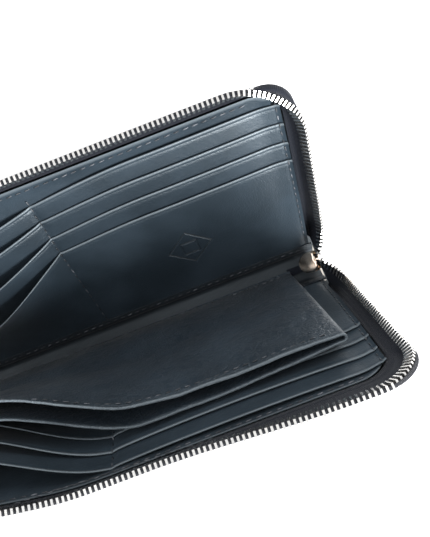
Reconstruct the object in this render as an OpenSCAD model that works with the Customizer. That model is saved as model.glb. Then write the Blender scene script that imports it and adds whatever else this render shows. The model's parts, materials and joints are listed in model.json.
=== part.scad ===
// Zip-around long wallet, standing open on its spine.
// X runs along the spine, +Y towards the front panel, +Z up. The origin is the middle of the
// spine's underside. A panel's own height is measured from its fold line, and a panel's own
// depth is measured inwards from the outer face of its cover.

/* [Covers] */
// Length of the wallet along the spine
wallet_l = 193; // [160:1:235]
// Height of a panel from its fold line to its free edge
panel_h = 95; // [84:1:120]
// Thickness of the closed wallet over both covers
closed_t = 20; // [17:0.5:26]
// Corner radius of the covers at their free edge
corner_r = 11; // [5:0.5:16]
// Lean of each panel from upright, as the wallet stands open
open_angle = 30; // [22:1:40]
// Thickness of the outer leather
cover_t = 1.2; // [0.8:0.1:1.6]
// Thickness of the stiffening board
board_t = 0.8; // [0.5:0.1:1.2]
// Thickness of the shielding foil
foil_t = 0.2; // [0.1:0.05:0.3]
// Thickness of the lining leather
lining_t = 0.6; // [0.4:0.1:0.9]
// Bare gap between the fold line and the start of a panel's cover
fold_gap = 1.5; // [1.3:0.1:2.5]

/* [Card slots] */
// Width of one column of card slots between its stitch lines
column_w = 92; // [76:1:100]
// Depth of the lowest pocket below its mouth
slot_depth = 53; // [44:1:60]
// Step from one pocket mouth to the next
slot_pitch = 8; // [6:0.5:9]
// Thickness of one folded pocket layer
card_t = 0.75; // [0.6:0.05:0.9]
// Height of the pockets' bottom edge above the fold line
card_foot = 4; // [3.5:0.5:8]

/* [Pouch] */
// Length of the middle pouch
pouch_l = 168; // [130:1:180]
// Height of the pouch above its seam
pouch_h = 72; // [55:1:78]
// Thickness of one pouch wall
pouch_t = 0.9; // [0.6:0.1:1.1]
// Clear width of the pouch's mouth
pouch_mouth = 3; // [1.5:0.5:4]
// Lean of the pouch towards the back panel
pouch_lean = 27; // [20:1:28]

/* [Zip] */
// Thickness of the zip tape
tape_t = 0.5; // [0.4:0.1:0.7]
// Spacing of the teeth along one row
tooth_pitch = 1.7; // [1.5:0.1:2.5]
// Length of a tooth beyond the tape
tooth_l = 1.7; // [1.2:0.1:2]
// Thickness of a tooth across the tape
tooth_w = 1.6; // [1.2:0.1:2]
// Gap left between the two rows when the wallet is shut
row_gap = 1; // [0.6:0.1:1.6]
// Height above the fold line at which each row leaves the slider's run
row_start = 22; // [21:0.5:30]
// Distance of the slider's middle from the end of the spine
slider_inset = 6; // [5.5:0.25:6.5]
// Length of the slider along the chain
slider_l = 9; // [8:0.5:10]
// Width of the slider across the chain
slider_w = 7.6; // [7:0.2:9]
// Height of the slider's middle above the ground
slider_z = 11.5; // [11:0.25:13]
// Lean of the slider outwards from upright
slider_lean = 40; // [20:1:45]
// Length of the pull below its pin
pull_l = 6.8; // [6:0.1:7]

/* [Stitches] */
// Spacing of the stitches
stitch_pitch = 3.4; // [2.8:0.1:5]
// Length of one stitch
stitch_l = 2.4; // [1.5:0.1:2.6]
// Width of the thread
thread_w = 0.45; // [0.3:0.05:0.7]

/* [Hidden] */
$fn = 48;

fit = 0.1;                                   // clearance between neighbouring edges
fold_y = closed_t / 2;                       // fold lines lie this far either side of the middle
spine_clear = 0.3;                           // spine cover to fold line
board_at = cover_t;                          // depths of the layers inside a panel
foil_at = board_at + board_t;
lining_at = foil_at + foil_t;
cards_at = lining_at + lining_t;
slot_count = 4;
tape_inset = 0.5;                            // tape's outer face inside the cover's edge
inner_inset = tape_inset + tape_t + fit;     // boards and linings end inside the tape
inner_foot = 3.2;                            // boards and linings start above the spine
tape_end = fold_y - row_gap / 2 - tooth_l;   // depth at which the teeth take over from the tape
stitch_t = 0.3;                              // height of a stitch on the leather
stitch_margin = 2;                           // first stitch from the end of its line

spine_board_t = 0.4;
spine_top = cover_t + spine_board_t + lining_t;
spine_half = fold_y - spine_clear;
lining_half = fold_y - cover_t - spine_clear;

pouch_seam_h = 1.4;
pouch_seam_t = 2 * pouch_t + 0.2;
pouch_axis_z = spine_top + 1.4;              // hinge line of the pouch, above the spine lining
pouch_foot = pouch_seam_h / 2;
pouch_tilt = atan((pouch_mouth / 2 - fit) / pouch_h);

slider_x = wallet_l / 2 - slider_inset;
slider_plate_t = 1;
slider_channel_t = tooth_w + 0.6;
slider_flange = 0.8;
slider_slot_t = tape_t + 0.5;
slider_post_w = row_gap - 0.3;
slider_post_l = 2.6;
slider_tail = 0.72;                          // the tail's share of the slider's full width
slider_face = slider_channel_t / 2 + slider_plate_t;
bridge_h = 2.4;
bridge_t = 0.7;
bridge_w = 1.8;
bridge_l = 5.6;
pull_pin_r = 0.5;
pull_pin_out = slider_face + bridge_h - bridge_t - pull_pin_r - 0.15;
pull_pin_x = slider_x + pull_pin_out * cos(slider_lean);
pull_pin_z = slider_z - pull_pin_out * sin(slider_lean);
pull_w = 4.4;
pull_t = 0.9;
tail_w = 4;
tail_l = 1.6;
tail_x = slider_x - slider_l / 2 * sin(slider_lean);
tail_top = slider_z - slider_l / 2 * cos(slider_lean) - 0.4;

leather = [0.07, 0.08, 0.1];
suede = [0.12, 0.12, 0.14];
nickel = [0.78, 0.77, 0.74];
thread = [0.03, 0.03, 0.04];
tape_navy = [0.05, 0.07, 0.12];
card_grey = [0.55, 0.53, 0.5];

// A panel's outline, in length and height, drawn in by inset and starting at foot.
module panel_outline(inset, foot) {
    half = wallet_l / 2 - inset;
    top = panel_h - inset;
    r = corner_r - inset;
    union() {
        translate([-half, foot]) square([2 * half, top - r - foot]);
        translate([-half + r, foot]) square([2 * (half - r), top - foot]);
        for (s = [-1, 1])
            translate([s * (half - r), top - r]) circle(r);
    }
}

// Stands an outline up as a sheet of thickness t, at a depth inside the cover's outer face.
module sheet(depth, t) {
    translate([0, -depth, 0]) rotate([90, 0, 0]) linear_extrude(t) children();
}

module on_front() {
    translate([0, fold_y, 0]) rotate([-open_angle, 0, 0]) children();
}

module on_back() {
    mirror([0, 1, 0]) on_front() children();
}

// Height of a pocket's mouth. Layer 1 is the tallest and lies against the lining.
function mouth(layer) = card_foot + slot_depth + (slot_count - layer) * slot_pitch;

// Number of pocket layers that lie under a point at this height.
function layers_at(height) = len([for (layer = [1 : slot_count]) if (mouth(layer) > height) layer]);

module panel_cover() {
    color(leather) sheet(0, cover_t) panel_outline(0, fold_gap);
}

module panel_board() {
    color(card_grey) sheet(board_at, board_t) panel_outline(inner_inset, inner_foot);
}

module panel_foil() {
    color(nickel) sheet(foil_at, foil_t) panel_outline(inner_inset, inner_foot);
}

module panel_lining() {
    color(leather) sheet(lining_at, lining_t) panel_outline(inner_inset, inner_foot);
}

module card_layer(layer) {
    color(leather)
        sheet(cards_at + (layer - 1) * card_t, card_t)
            intersection() {
                panel_outline(inner_inset, card_foot);
                translate([-wallet_l / 2, 0]) square([wallet_l, mouth(layer)]);
            }
}

module zip_tape() {
    color(tape_navy)
        sheet(cover_t, tape_end - cover_t)
            difference() {
                panel_outline(tape_inset, row_start);
                panel_outline(tape_inset + tape_t, row_start - 1);
            }
}

module tooth() {
    color(nickel)
        translate([-tooth_pitch / 4, -tape_end - tooth_l, -tooth_w / 2])
            cube([tooth_pitch / 2, tooth_l, tooth_w]);
}

// One row of teeth up one side, round the corner, and half of the way along the top.
module half_row() {
    inset = tape_inset + tape_t / 2;
    half = wallet_l / 2 - inset;
    top = panel_h - inset;
    r = corner_r - inset;
    side = top - r - row_start;
    side_teeth = floor(side / tooth_pitch);
    arc_teeth = floor(r * PI / 2 / tooth_pitch);
    top_teeth = floor((half - r) / tooth_pitch);
    for (i = [0 : side_teeth - 1])
        translate([half, 0, row_start + (i + 0.5) * side / side_teeth]) rotate([0, -90, 0]) tooth();
    for (i = [0 : arc_teeth - 1])
        translate([half - r, 0, top - r])
            rotate([0, -(i + 0.5) * 90 / arc_teeth, 0]) translate([r, 0, 0]) rotate([0, -90, 0]) tooth();
    for (i = [0 : top_teeth - 1])
        translate([(i + 0.5) * (half - r) / top_teeth, 0, top]) tooth();
}

module zip_teeth() {
    half_row();
    mirror([1, 0, 0]) half_row();
}

// One stitch that lies on the pocket layers, along the length or up the panel. One that crosses
// a mouth lies on the layer below it.
module stitch_up(x, height) {
    depth = cards_at + layers_at(height - stitch_l / 2) * card_t;
    translate([x - thread_w / 2, -depth - stitch_t, height - stitch_l / 2])
        cube([thread_w, stitch_t, stitch_l]);
}

module stitch_along(x, height) {
    depth = cards_at + slot_count * card_t;
    translate([x - stitch_l / 2, -depth - stitch_t, height - thread_w / 2])
        cube([stitch_l, stitch_t, thread_w]);
}

module edge_stitches() {
    first = card_foot + stitch_margin;
    rows = floor((mouth(1) - stitch_margin - first) / stitch_pitch);
    along = floor((column_w - 2 * stitch_margin) / stitch_pitch);
    color(thread) {
        for (s = [-1, 1], i = [0 : rows])
            stitch_up(s * column_w, first + stitch_l / 2 + i * stitch_pitch);
        for (s = [-1, 1], i = [0 : along])
            stitch_along(s * (2 * stitch_margin + i * stitch_pitch), first - stitch_margin / 2);
    }
}

module divider_stitches() {
    first = card_foot + stitch_margin;
    rows = floor((mouth(1) - stitch_margin - first) / stitch_pitch);
    color(thread)
        for (i = [0 : rows])
            stitch_up(0, first + stitch_l / 2 + i * stitch_pitch);
}

module spine_cover() {
    color(leather)
        translate([-wallet_l / 2, -spine_half, 0]) cube([wallet_l, 2 * spine_half, cover_t]);
}

module spine_board() {
    color(card_grey)
        translate([-wallet_l / 2 + inner_inset, -lining_half, cover_t])
            cube([wallet_l - 2 * inner_inset, 2 * lining_half, spine_board_t]);
}

module spine_lining() {
    color(leather)
        translate([-wallet_l / 2 + inner_inset, -lining_half, cover_t + spine_board_t])
            cube([wallet_l - 2 * inner_inset, 2 * lining_half, lining_t]);
}

// The joined end of the two tapes: flat on the spine lining, then up into the slider.
module zip_tail_tape() {
    color(tape_navy) {
        translate([tail_x - tail_l, -tail_w / 2, spine_top])
            cube([2 * tail_l, tail_w, tape_t]);
        translate([tail_x - tape_t / 2, -tail_w / 2, spine_top + tape_t])
            cube([tape_t, tail_w, tail_top - spine_top - tape_t]);
    }
}

module zip_end_stop() {
    color(nickel)
        translate([tail_x + tape_t / 2, -tail_w / 2 + fit, tail_top - 2 * tooth_w])
            cube([tooth_w / 2, tail_w - 2 * fit, tooth_w]);
}

module on_pouch() {
    translate([0, 0, pouch_axis_z]) rotate([pouch_lean, 0, 0]) children();
}

module pouch_wall() {
    translate([-pouch_l / 2, fit, pouch_foot + fit / 2])
        rotate([-pouch_tilt, 0, 0]) cube([pouch_l, pouch_t, pouch_h - pouch_foot]);
}

// The leather that folds round from one wall to the other at an end of the pouch.
module pouch_fold() {
    top = pouch_foot + (pouch_h - pouch_foot) * cos(pouch_tilt);
    low_half = pouch_t + fit;
    high_half = low_half + (top - pouch_foot) * tan(pouch_tilt);
    translate([pouch_l / 2, 0, 0])
        rotate([90, 0, 90])
            linear_extrude(pouch_t)
                polygon([
                    [-low_half, pouch_foot], [low_half, pouch_foot],
                    [high_half, top], [-high_half, top]
                ]);
}

module pouch_seam() {
    color(leather)
        on_pouch()
            translate([-pouch_l / 2, -pouch_seam_t / 2, -pouch_seam_h / 2])
                cube([pouch_l, pouch_seam_t, pouch_seam_h]);
}

// Slider's outline across and along the chain: narrow tail, two round shoulders.
module slider_outline() {
    r = slider_w / 4;
    tail = slider_tail * slider_w;
    translate([0, -slider_l / 2])
        union() {
            translate([-tail / 2, 0]) square([tail, slider_l - r]);
            for (s = [-1, 1]) translate([s * r, slider_l - r]) circle(r);
        }
}

// Places the slider's own frame: X out through its outer plate, Z along the chain.
module on_slider() {
    translate([slider_x, 0, slider_z]) rotate([0, slider_lean, 0]) children();
}

module slider_body() {
    channel_w = slider_tail * slider_w - 2 * slider_flange;
    color(nickel)
        on_slider()
            union() {
                difference() {
                    rotate([90, 0, 90])
                        translate([0, 0, -slider_face]) linear_extrude(2 * slider_face) slider_outline();
                    translate([-slider_channel_t / 2, -channel_w / 2, -slider_l])
                        cube([slider_channel_t, channel_w, 2 * slider_l]);
                    translate([-slider_slot_t / 2, -slider_w, -slider_l])
                        cube([slider_slot_t, 2 * slider_w, 2 * slider_l]);
                }
                translate([-slider_channel_t / 2, -slider_post_w / 2, slider_l / 2 - slider_post_l])
                    cube([slider_channel_t, slider_post_w, slider_post_l * 0.8]);
            }
}

module slider_bridge() {
    color(nickel)
        on_slider()
            translate([slider_face, -bridge_w / 2, -bridge_l / 2])
                difference() {
                    cube([bridge_h, bridge_w, bridge_l]);
                    translate([-1, -1, bridge_t])
                        cube([bridge_h - bridge_t + 1, bridge_w + 2, bridge_l - 2 * bridge_t]);
                }
}

module pull_pin() {
    color(nickel)
        translate([pull_pin_x, 0, pull_pin_z])
            rotate([90, 0, 0]) cylinder(h = pull_w, r = pull_pin_r, center = true);
}

// Two lugs that hold the pin outside the bridge, and a flat tab that hangs below.
module pull_tab() {
    lug_w = (pull_w - bridge_w) / 2 - 0.2;
    lug_l = bridge_l / 2 + 0.6;
    lug_r = pull_pin_r + 0.3;
    color(nickel)
        translate([pull_pin_x, 0, pull_pin_z])
            difference() {
                union() {
                    for (s = [-1, 1]) {
                        translate([-pull_t / 2, s * (pull_w - lug_w) / 2 - lug_w / 2, -lug_l])
                            cube([pull_t, lug_w, lug_l]);
                        translate([0, s * (pull_w - lug_w) / 2, 0])
                            rotate([90, 0, 0]) cylinder(h = lug_w, r = lug_r, center = true);
                    }
                    translate([-pull_t / 2, -pull_w / 2, -pull_l])
                        cube([pull_t, pull_w, pull_l - lug_l]);
                }
                rotate([90, 0, 0]) cylinder(h = pull_w + 1, r = pull_pin_r, center = true);
            }
}

spine_cover();
spine_board();
spine_lining();
zip_tail_tape();
zip_end_stop();

on_front() panel_cover();  // front_cover
on_front() panel_board();  // front_board
on_front() panel_foil();  // front_shield_foil
on_front() panel_lining();  // front_lining
on_front() card_layer(1);  // front_card_layer_1
on_front() card_layer(2);  // front_card_layer_2
on_front() card_layer(3);  // front_card_layer_3
on_front() card_layer(4);  // front_card_layer_4
on_front() zip_tape();  // front_zip_tape
on_front() zip_teeth();  // front_zip_teeth
on_front() edge_stitches();  // front_edge_stitches
on_front() divider_stitches();  // front_divider_stitches

on_back() panel_cover();  // back_cover
on_back() panel_board();  // back_board
on_back() panel_foil();  // back_shield_foil
on_back() panel_lining();  // back_lining
on_back() card_layer(1);  // back_card_layer_1
on_back() card_layer(2);  // back_card_layer_2
on_back() card_layer(3);  // back_card_layer_3
on_back() card_layer(4);  // back_card_layer_4
on_back() zip_tape();  // back_zip_tape
on_back() zip_teeth();  // back_zip_teeth
on_back() edge_stitches();  // back_edge_stitches
on_back() divider_stitches();  // back_divider_stitches

color(suede) on_pouch() pouch_wall();  // pouch_front_wall
color(suede) on_pouch() mirror([0, 1, 0]) pouch_wall();  // pouch_back_wall
color(suede) on_pouch() pouch_fold();  // pouch_right_fold
color(suede) on_pouch() mirror([1, 0, 0]) pouch_fold();  // pouch_left_fold
pouch_seam();

slider_body();
slider_bridge();
pull_pin();
pull_tab();
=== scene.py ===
"""A zip-around long wallet, open on its spine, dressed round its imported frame.

Lengths in the sub-assemblies are millimetres until they are placed, and every finished mesh is
in metres in the frame's own axes: X along the spine, +Y towards the front panel, +Z up.
"""

from __future__ import annotations

import json
import logging
import math
from dataclasses import dataclass, replace
from enum import Enum
from typing import Callable, ClassVar, Iterable, Sequence

import bmesh
import bpy
from mathutils import Matrix, Quaternion, Vector, noise

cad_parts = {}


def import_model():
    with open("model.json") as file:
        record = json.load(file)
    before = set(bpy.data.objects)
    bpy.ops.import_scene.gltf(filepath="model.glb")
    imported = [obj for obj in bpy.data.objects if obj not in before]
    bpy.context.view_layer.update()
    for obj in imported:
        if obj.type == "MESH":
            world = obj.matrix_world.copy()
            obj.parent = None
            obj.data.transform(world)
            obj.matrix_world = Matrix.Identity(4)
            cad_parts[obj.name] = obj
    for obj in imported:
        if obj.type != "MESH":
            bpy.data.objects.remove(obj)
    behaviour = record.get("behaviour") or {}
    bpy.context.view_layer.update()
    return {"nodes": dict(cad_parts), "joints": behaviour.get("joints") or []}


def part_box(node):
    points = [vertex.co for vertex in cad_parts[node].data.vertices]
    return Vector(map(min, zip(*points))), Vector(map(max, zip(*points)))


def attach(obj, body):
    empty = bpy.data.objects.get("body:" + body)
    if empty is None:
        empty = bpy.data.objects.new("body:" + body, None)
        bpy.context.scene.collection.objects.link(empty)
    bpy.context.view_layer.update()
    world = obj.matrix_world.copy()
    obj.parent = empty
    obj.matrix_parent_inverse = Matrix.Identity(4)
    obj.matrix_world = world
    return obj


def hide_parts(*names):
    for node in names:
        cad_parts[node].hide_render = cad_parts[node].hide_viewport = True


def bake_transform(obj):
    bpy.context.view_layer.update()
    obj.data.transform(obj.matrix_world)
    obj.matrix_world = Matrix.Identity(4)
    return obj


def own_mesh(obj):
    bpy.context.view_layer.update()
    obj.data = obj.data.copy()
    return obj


LOG = logging.getLogger("wallet")
MM = 0.001


class Side(Enum):
    """The two panels, by the side of the spine they stand on."""

    FRONT = 1
    BACK = -1

    @property
    def word(self) -> str:
        """The side's word in the names of nodes, joints and bodies."""
        return self.name.lower()


class Slot(Enum):
    """The record's material slots."""

    COVER = "cover_leather"
    LINING = "lining_leather"
    POUCH = "pouch_leather"
    BOARD = "stiffener"
    FOIL = "foil"
    TAPE = "zip_tape"
    METAL = "zip_metal"
    THREAD = "thread"


# ---------------------------------------------------------------- shader expressions


class Wire:
    """A node socket that can be used in a Python expression."""

    def __init__(self, tree: "Shade", socket: bpy.types.NodeSocket) -> None:
        """Keeps the socket and the tree that it is in."""
        self.tree = tree
        self.socket = socket

    def _math(self, operation: str, *values: "Wire | float") -> "Wire":
        """A Math node's result, in the same tree."""
        return self.tree.math(operation, *values)

    def __add__(self, other: "Wire | float") -> "Wire":
        """Sum."""
        return self._math("ADD", self, other)

    def __sub__(self, other: "Wire | float") -> "Wire":
        """Difference."""
        return self._math("SUBTRACT", self, other)

    def __mul__(self, other: "Wire | float") -> "Wire":
        """Product."""
        return self._math("MULTIPLY", self, other)

    def __truediv__(self, other: "Wire | float") -> "Wire":
        """Quotient."""
        return self._math("DIVIDE", self, other)

    def __rsub__(self, other: float) -> "Wire":
        """A number less this."""
        return self._math("SUBTRACT", other, self)

    __radd__ = __add__
    __rmul__ = __mul__


class Shade:
    """One material's node tree, written as expressions."""

    def __init__(self, name: str) -> None:
        """Starts a material.

        Args:
            name: the material's name.
        """
        self.material = bpy.data.materials.new(name)
        self.material.use_nodes = True
        self.nodes = self.material.node_tree.nodes
        self.links = self.material.node_tree.links
        self.shader = self.nodes["Principled BSDF"]

    def node(
        self, kind: str, settings: dict | None = None, inputs: dict | None = None
    ) -> bpy.types.Node:
        """Adds a node.

        Args:
            kind: the node's type name.
            settings: attributes that are set first; "stops" fills a colour ramp.
            inputs: values or wires by socket name or number.

        Returns:
            The new node.
        """
        made = self.nodes.new(kind)
        for key, value in (settings or {}).items():
            if key == "stops":
                ramp = made.color_ramp
                while len(ramp.elements) < len(value):
                    ramp.elements.new(0.5)
                for element, (place, shade) in zip(ramp.elements, value):
                    element.position = place
                    element.color = (shade, shade, shade, 1.0)
            else:
                setattr(made, key, value)
        for key, value in (inputs or {}).items():
            self.feed(made.inputs[key], value)
        return made

    def feed(self, socket: bpy.types.NodeSocket, value: "Wire | float | Sequence") -> None:
        """Links a wire to a socket, or sets the socket's own value.

        Args:
            socket: the input.
            value: a wire, a number or a colour.
        """
        if isinstance(value, Wire):
            self.links.new(value.socket, socket)
        elif isinstance(value, (tuple, list)) and len(value) == 3 and socket.type == "RGBA":
            socket.default_value = (*value, 1.0)
        else:
            socket.default_value = value

    def math(self, operation: str, *values: "Wire | float") -> Wire:
        """A Math node's result.

        Args:
            operation: the node's operation.
            values: its inputs, in order.

        Returns:
            The result.
        """
        made = self.nodes.new("ShaderNodeMath")
        made.operation = operation
        for socket, value in zip(made.inputs, values):
            self.feed(socket, value)
        return Wire(self, made.outputs[0])

    def place(self, scale: Sequence[float] = (1, 1, 1), turn: Sequence[float] = (0, 0, 0)) -> Wire:
        """Object coordinates, in metres, turned and scaled.

        Args:
            scale: scale along each axis.
            turn: turn about each axis, in radians.

        Returns:
            The coordinates.
        """
        coords = self.node("ShaderNodeTexCoord").outputs["Object"]
        mapped = self.node(
            "ShaderNodeMapping",
            {"vector_type": "POINT"},
            {"Vector": Wire(self, coords), "Scale": tuple(scale), "Rotation": tuple(turn)},
        )
        return Wire(self, mapped.outputs[0])

    def surface(self, layer: str) -> tuple[Wire, Wire]:
        """The two coordinates of a piece's own UV map, in metres.

        Args:
            layer: the UV map's name.

        Returns:
            The coordinate along the sheet and the one across it.
        """
        made = self.node("ShaderNodeUVMap", {"uv_map": layer})
        split = self.node("ShaderNodeSeparateXYZ", None, {0: Wire(self, made.outputs[0])})
        return Wire(self, split.outputs[0]), Wire(self, split.outputs[1])

    def attribute(self, name: str) -> Wire:
        """A number stored on the piece's own points, 0 where it isn't stored."""
        made = self.node("ShaderNodeAttribute", {"attribute_name": name})
        return Wire(self, made.outputs["Fac"])

    def noise(self, where: Wire, scale: float, detail: float = 3.0, rough: float = 0.55) -> Wire:
        """Cloudy noise between 0 and 1.

        Args:
            where: the coordinates.
            scale: clouds per metre.
            detail: number of octaves.
            rough: how strong the finer octaves are.

        Returns:
            The noise.
        """
        made = self.node(
            "ShaderNodeTexNoise",
            None,
            {"Vector": where, "Scale": scale, "Detail": detail, "Roughness": rough},
        )
        return Wire(self, made.outputs["Fac"])

    def cells(self, where: Wire, scale: float, feature: str = "F1") -> Wire:
        """Distance inside a field of rounded cells.

        Args:
            where: the coordinates.
            scale: cells per metre.
            feature: which distance is measured.

        Returns:
            The distance.
        """
        made = self.node(
            "ShaderNodeTexVoronoi", {"feature": feature}, {"Vector": where, "Scale": scale}
        )
        return Wire(self, made.outputs["Distance"])

    def ramp(self, value: Wire, *stops: tuple[float, float]) -> Wire:
        """A grey ramp through the given (place, brightness) stops."""
        made = self.node("ShaderNodeValToRGB", {"stops": stops}, {"Fac": value})
        return Wire(self, made.outputs["Color"])

    def mix(self, share: "Wire | float", low: "Wire | Sequence", high: "Wire | Sequence") -> Wire:
        """A colour between two colours.

        Args:
            share: 0 for the first colour, 1 for the second.
            low: the first colour.
            high: the second colour.

        Returns:
            The mixed colour.
        """
        made = self.node("ShaderNodeMix", {"data_type": "RGBA"}, {0: share})
        self.feed(made.inputs[6], low)
        self.feed(made.inputs[7], high)
        return Wire(self, made.outputs[2])

    def bump(self, height: Wire, strength: float, distance: float) -> None:
        """Roughens the surface by a height, in millimetres at full strength.

        Args:
            height: the height, from 0 to 1.
            strength: how much of it is used.
            distance: the height at 1, in millimetres.
        """
        made = self.node(
            "ShaderNodeBump",
            None,
            {"Height": height, "Strength": strength, "Distance": distance * MM},
        )
        self.links.new(made.outputs[0], self.shader.inputs["Normal"])

    def set(self, **values: "Wire | float | Sequence") -> bpy.types.Material:
        """Sets the shader's sockets; an underscore stands for a space in a name.

        Args:
            values: a value or wire for each named socket.

        Returns:
            The material.
        """
        for name, value in values.items():
            self.feed(self.shader.inputs[name.replace("_", " ")], value)
        return self.material


@dataclass(frozen=True)
class LeatherFinish:
    """Dyed and lightly finished leather, with a painted highlight along its rolled edges."""

    name: str
    slot: Slot
    dark: tuple[float, float, float]
    light: tuple[float, float, float]
    roughness: float = 0.42
    grain_mm: float = 0.55
    grain_depth: float = 0.05
    crease: float = 0.0
    sheen: float = 0.06
    # Colour of the painted highlight along the rolled edges.
    rim: tuple[float, float, float] = (0.17, 0.20, 0.22)
    mark: tuple[float, float] | None = None

    def emblem(self, s: Shade) -> Wire:
        """A pressed ornament of two nested frames, by the sheet's own length and height.

        Args:
            s: the material's shader.

        Returns:
            1 on the pressed lines and 0 off them.
        """
        along, up = s.surface("cloth")
        du = s.math("ABSOLUTE", along - self.mark[0] * MM)
        dv = s.math("ABSOLUTE", up - self.mark[1] * MM)
        total: Wire | float = 0.0
        for distance, size in ((du + dv, 9.0), (s.math("MAXIMUM", du, dv), 3.2)):
            off = s.math("ABSOLUTE", distance - size * MM)
            total = s.math("MAXIMUM", 1.0 - off / (0.65 * MM), 0.0) + total
        return s.math("MINIMUM", total, 1.0)

    def make(self) -> bpy.types.Material:
        """Builds the material.

        Returns:
            The material.
        """
        s = Shade(self.name)
        where = s.place()
        pores = s.cells(where, 1000 / self.grain_mm)
        fine = s.noise(where, 2600, 2.0)
        patches = s.noise(where, 38, 4.0)
        folds = s.noise(s.place((1, 1.5, 1.1), (0.3, 0.2, 0.6)), 190, 5.0, 0.65)
        veins = s.ramp(folds, (0.40, 0.0), (0.5, 1.0), (0.60, 0.0))
        wear_and_edge_highlight = s.ramp(patches, (0.38, 0.0), (0.66, 1.0))
        tone = s.mix(wear_and_edge_highlight * 0.75 + fine * 0.18, self.dark, self.light)
        # Painted highlight: the rolled edges, marked point by point in the mesh, are lightened
        # towards the rim colour.
        edge = s.attribute("worn")
        tone = s.mix(edge * (fine * 0.5 + 0.35), tone, self.rim)
        height = pores * 0.6 + fine * 0.45 + veins * self.crease
        if self.mark:
            pressed = self.emblem(s)
            height = height - pressed * 5.0
            tone = s.mix(pressed * 0.45, tone, self.dark)
        s.bump(height, 1.0, self.grain_depth)
        return s.set(
            Base_Color=tone,
            Roughness=wear_and_edge_highlight * -0.05 + fine * 0.09 + veins * (0.05 * self.crease) + self.roughness,
            Specular_IOR_Level=0.62,
            Specular_Tint=(0.86, 0.95, 1.0, 1.0),
            Sheen_Weight=self.sheen,
            Sheen_Roughness=0.45,
            Coat_Roughness=0.35,
        )


@dataclass(frozen=True)
class MetalFinish:
    """Plated and polished metal, a little scuffed."""

    name: str
    slot: Slot
    colour: tuple[float, float, float]
    warm: tuple[float, float, float]
    roughness: float = 0.16

    def make(self) -> bpy.types.Material:
        """Builds the material.

        Returns:
            The material.
        """
        s = Shade(self.name)
        where = s.place()
        cloud = s.noise(where, 240, 4.0)
        scuff = s.noise(s.place((1, 9, 1)), 1900, 3.0)
        tone = s.mix(s.ramp(cloud, (0.35, 0.0), (0.7, 1.0)), self.colour, self.warm)
        s.bump(scuff, 0.35, 0.02)
        return s.set(
            Base_Color=tone,
            Metallic=1.0,
            Roughness=cloud * 0.10 + scuff * 0.06 + self.roughness - 0.06,
        )


@dataclass(frozen=True)
class TapeFinish:
    """Herringbone zip tape, by its own length and width."""

    name: str
    slot: Slot
    dark: tuple[float, float, float]
    light: tuple[float, float, float]
    rib_mm: float = 0.62
    band_mm: float = 2.2

    def make(self) -> bpy.types.Material:
        """Builds the material.

        Returns:
            The material.
        """
        s = Shade(self.name)
        along, across = s.surface("cloth")
        band = s.math("PINGPONG", across, self.band_mm * MM)
        ribs = s.math("SINE", (along + band) * (math.tau / (self.rib_mm * MM)))
        threads = s.math("SINE", (along - band) * (math.tau / (self.rib_mm * 0.5 * MM)))
        fuzz = s.noise(s.place(), 3200, 2.0)
        weave = ribs * 0.36 + threads * 0.14 + 0.5
        s.bump(weave + fuzz * 0.3, 1.0, 0.12)
        return s.set(
            Base_Color=s.mix(weave * 0.8 + fuzz * 0.2, self.dark, self.light),
            Roughness=fuzz * 0.2 + 0.62,
            Specular_IOR_Level=0.25,
            Sheen_Weight=0.12,
            Sheen_Roughness=0.35,
        )


@dataclass(frozen=True)
class ThreadFinish:
    """Waxed, twisted sewing thread."""

    name: str
    slot: Slot
    dark: tuple[float, float, float]
    light: tuple[float, float, float]

    def make(self) -> bpy.types.Material:
        """Builds the material.

        Returns:
            The material.
        """
        s = Shade(self.name)
        where = s.place((1, 1, 1), (0.5, 0.6, 0.4))
        made = s.node(
            "ShaderNodeTexWave", {"wave_type": "BANDS"}, {"Vector": where, "Scale": 900.0}
        )
        twist = Wire(s, made.outputs["Fac"])
        glint = s.noise(where, 300, 2.0)
        s.bump(twist, 0.8, 0.06)
        tone = s.mix(s.ramp(glint, (0.45, 0.0), (0.75, 1.0)), self.dark, self.light)
        return s.set(Base_Color=tone, Roughness=glint * 0.2 + 0.3, Specular_IOR_Level=0.6)


@dataclass(frozen=True)
class SheetFinish:
    """A plain inner sheet, such as board or foil."""

    name: str
    slot: Slot
    dark: tuple[float, float, float]
    light: tuple[float, float, float]
    metallic: float
    roughness: float

    def make(self) -> bpy.types.Material:
        """Builds the material.

        Returns:
            The material.
        """
        s = Shade(self.name)
        fibre = s.noise(s.place((1, 3, 1)), 900, 4.0)
        s.bump(fibre, 0.5, 0.05)
        return s.set(
            Base_Color=s.mix(fibre, self.dark, self.light),
            Metallic=self.metallic,
            Roughness=fibre * 0.2 + self.roughness,
        )


COVER = LeatherFinish(
    "cover_calf", Slot.COVER, (0.004, 0.006, 0.008), (0.009, 0.012, 0.016), 0.48, 0.6, 0.10
)
LINING = LeatherFinish(
    "lining_calf", Slot.LINING, (0.009, 0.016, 0.023), (0.027, 0.040, 0.053), 0.35, 0.55, 0.07, 0.25
)
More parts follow.
